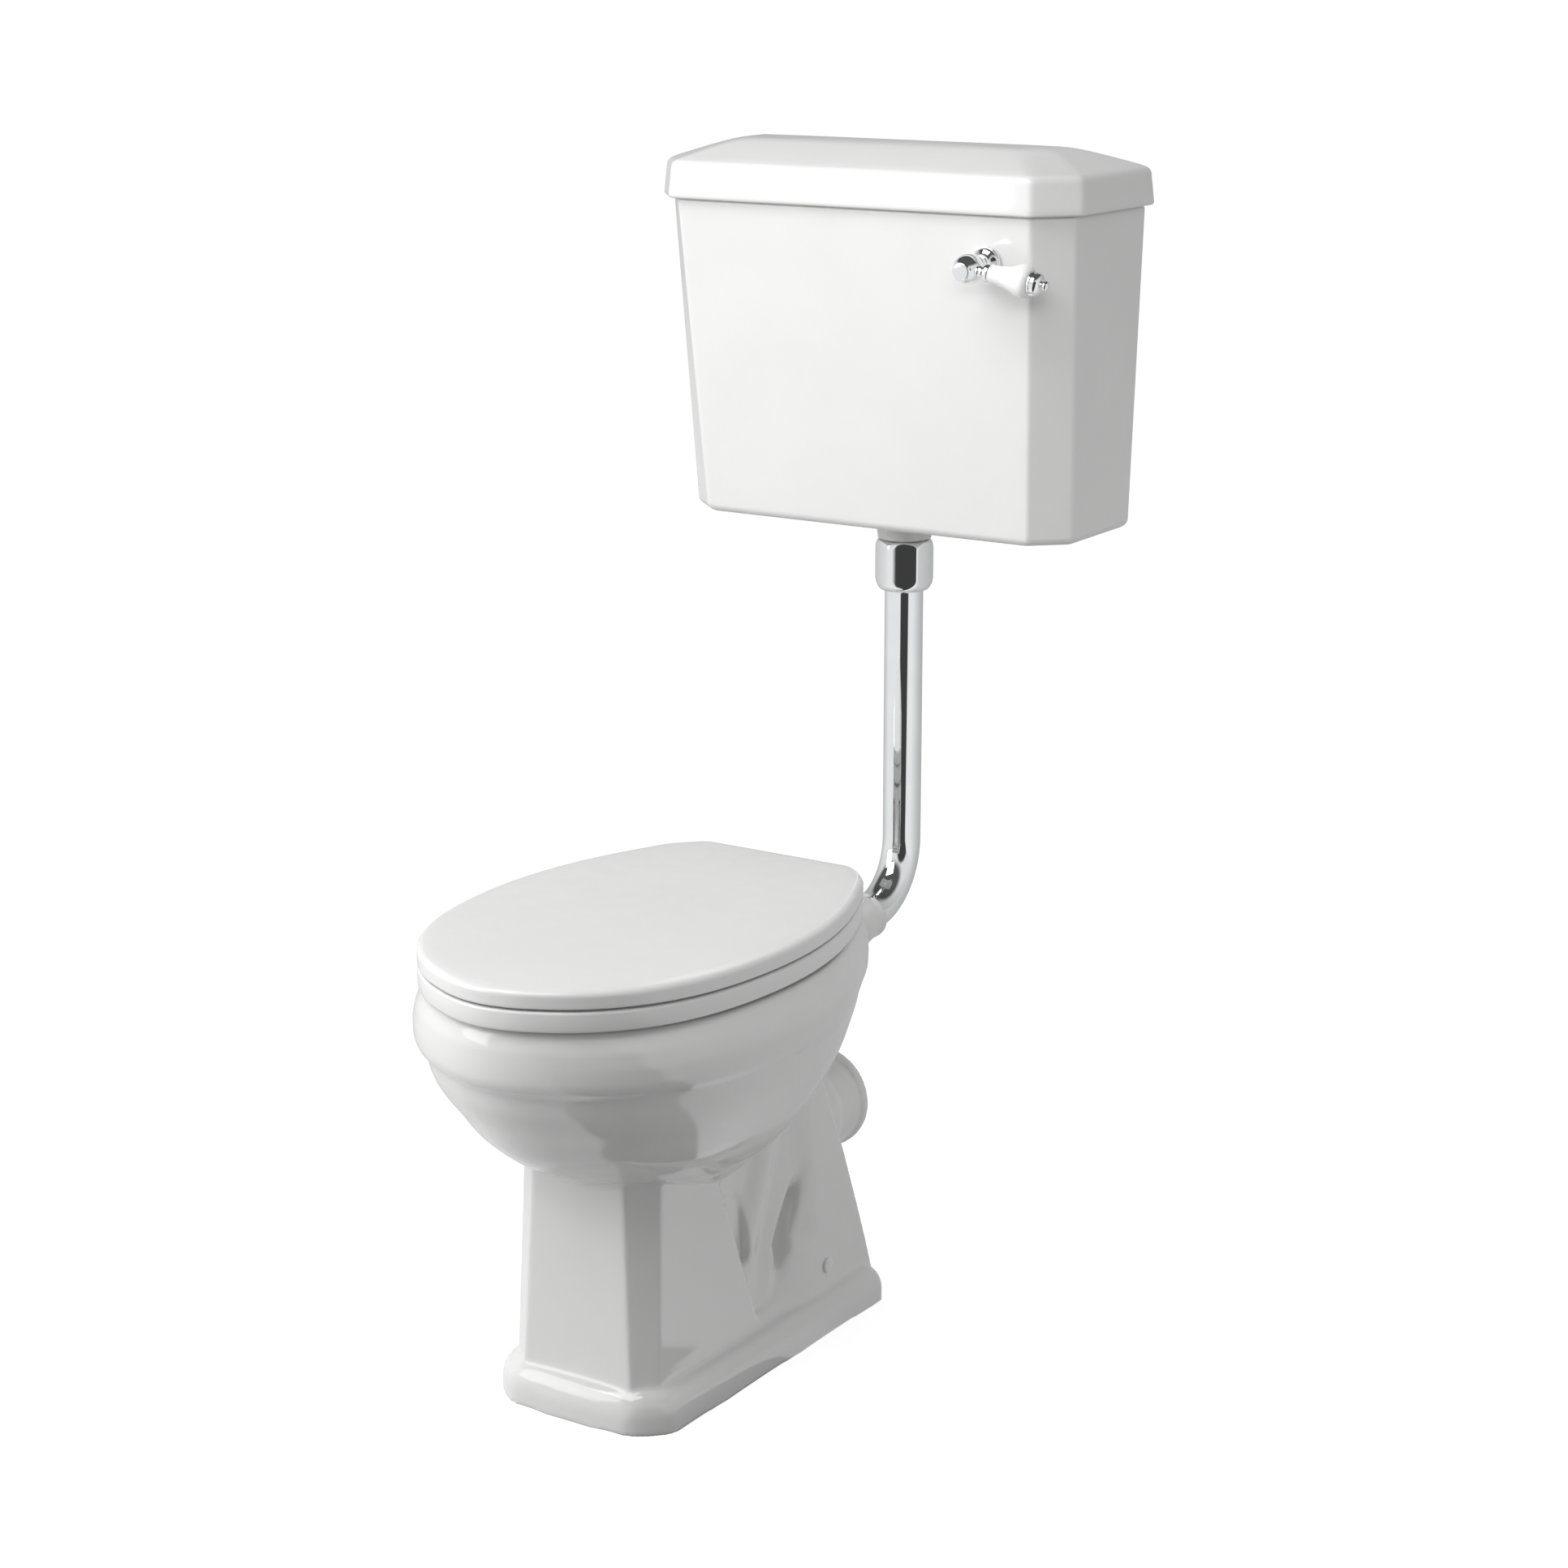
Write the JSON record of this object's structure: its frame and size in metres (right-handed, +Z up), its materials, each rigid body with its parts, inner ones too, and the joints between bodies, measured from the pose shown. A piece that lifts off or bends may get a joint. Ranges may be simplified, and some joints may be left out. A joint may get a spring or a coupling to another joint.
{
  "type": "low level toilet",
  "caption": "White china toilet pan with seat and lid, chrome flush pipe rising to a separate wall cistern with a side lever and working siphon.",
  "frame": {"origin": "middle of the footprint on the floor, half way between the wall face and the front of the seat", "axes": "+Z up, front of the pan towards -Y, wall at +Y, +X to the right seen from the front"},
  "size_m": [0.4536, 0.746, 1.078],
  "materials": {
    "china": "high gloss white glaze",
    "seat_plastic": "smooth white gloss",
    "chrome": "polished",
    "porcelain": "gloss white",
    "rubber": "matt",
    "plastic": "moulded",
    "brass": "machined",
    "steel": "plated",
    "float_plastic": "moulded"
  },
  "bodies": {
    "fixed": {"pan": "china", "pan_foot": "china", "flush_pipe": "chrome", "flush_pipe_nut": "chrome", "flush_pipe_seal": "rubber", "flush_cone": "rubber", "hinge_post_left": "chrome", "hinge_post_right": "chrome", "hinge_pin_left": "steel", "hinge_pin_right": "steel", "hinge_bolt_left": "steel", "hinge_bolt_right": "steel", "hinge_washer_left": "rubber", "hinge_washer_right": "rubber", "hinge_nut_left": "plastic", "hinge_nut_right": "plastic", "cistern_body": "china", "siphon_body": "plastic", "siphon_inner_washer": "rubber", "siphon_outer_washer": "rubber", "siphon_back_nut": "plastic", "lever_rose": "chrome", "lever_back_nut": "plastic", "fill_valve_body": "brass", "fill_valve_washer": "rubber", "fill_valve_back_nut": "plastic", "fill_tube": "plastic", "float_arm_pin": "steel", "cistern_screw_left": "steel", "cistern_screw_right": "steel", "floor_bracket_left": "steel", "floor_bracket_right": "steel", "bracket_screw_left": "steel", "bracket_screw_right": "steel", "pan_screw_left": "steel", "pan_screw_right": "steel", "screw_cap_left": "seat_plastic", "screw_cap_right": "seat_plastic"},
    "seat": {"seat_ring": "seat_plastic", "seat_buffer_1": "rubber", "seat_buffer_2": "rubber", "seat_buffer_3": "rubber", "seat_buffer_4": "rubber"},
    "lid": {"seat_lid": "seat_plastic", "lid_buffer_1": "rubber", "lid_buffer_2": "rubber", "lid_buffer_3": "rubber", "lid_buffer_4": "rubber"},
    "lever": {"lever_spindle": "brass", "lever_hub": "chrome", "lever_handle": "porcelain", "lever_end_cap": "chrome", "lever_arm": "brass"},
    "siphon_lift": {"lift_rod": "steel", "siphon_piston": "plastic", "siphon_diaphragm": "rubber"},
    "float": {"float_arm": "brass", "float_ball": "float_plastic"},
    "plunger": {"fill_valve_plunger": "plastic"},
    "cistern_cover": {"cistern_lid": "china"}
  },
  "joints": [
    {"name": "seat_hinge", "type": "hinge", "parent": "fixed", "child": "seat", "pos_m": [0, 0.075, 0.414], "axis": [-1, 0, 0], "range_deg": [0, 95]},
    {"name": "lid_hinge", "type": "hinge", "parent": "seat", "child": "lid", "pos_m": [0, 0.075, 0.414], "axis": [1, 0, 0], "range_deg": [-100, 0]},
    {"name": "flush_lever", "type": "hinge", "parent": "fixed", "child": "lever", "pos_m": [0.144, 0.20321, 0.985], "axis": [0, 0.995, 0.0997], "range_deg": [0, 25], "stiffness_Nm_per_rad": 0.5, "springref_deg": -20.05},
    {"name": "siphon_lift", "type": "slide", "parent": "fixed", "child": "siphon_lift", "axis": [0, 0, 1], "range_m": [0, 0.037]},
    {"name": "float_arm", "type": "hinge", "parent": "fixed", "child": "float", "pos_m": [-0.15, 0.301, 0.97], "axis": [0, 1, 0], "range_deg": [0, 35]},
    {"name": "valve_plunger", "type": "slide", "parent": "fixed", "child": "plunger", "axis": [1, 0, 0], "range_m": [0, 0.0034]},
    {"name": "cistern_lid_lift", "type": "slide", "parent": "fixed", "child": "cistern_cover", "axis": [0, 0, 1], "range_m": [0, 0.15]}
  ],
  "couplings": [
    {"joint": "siphon_lift", "follows": "flush_lever", "m_per_rad": 0.0834},
    {"joint": "valve_plunger", "follows": "float_arm", "m_per_rad": 0.0055}
  ]
}
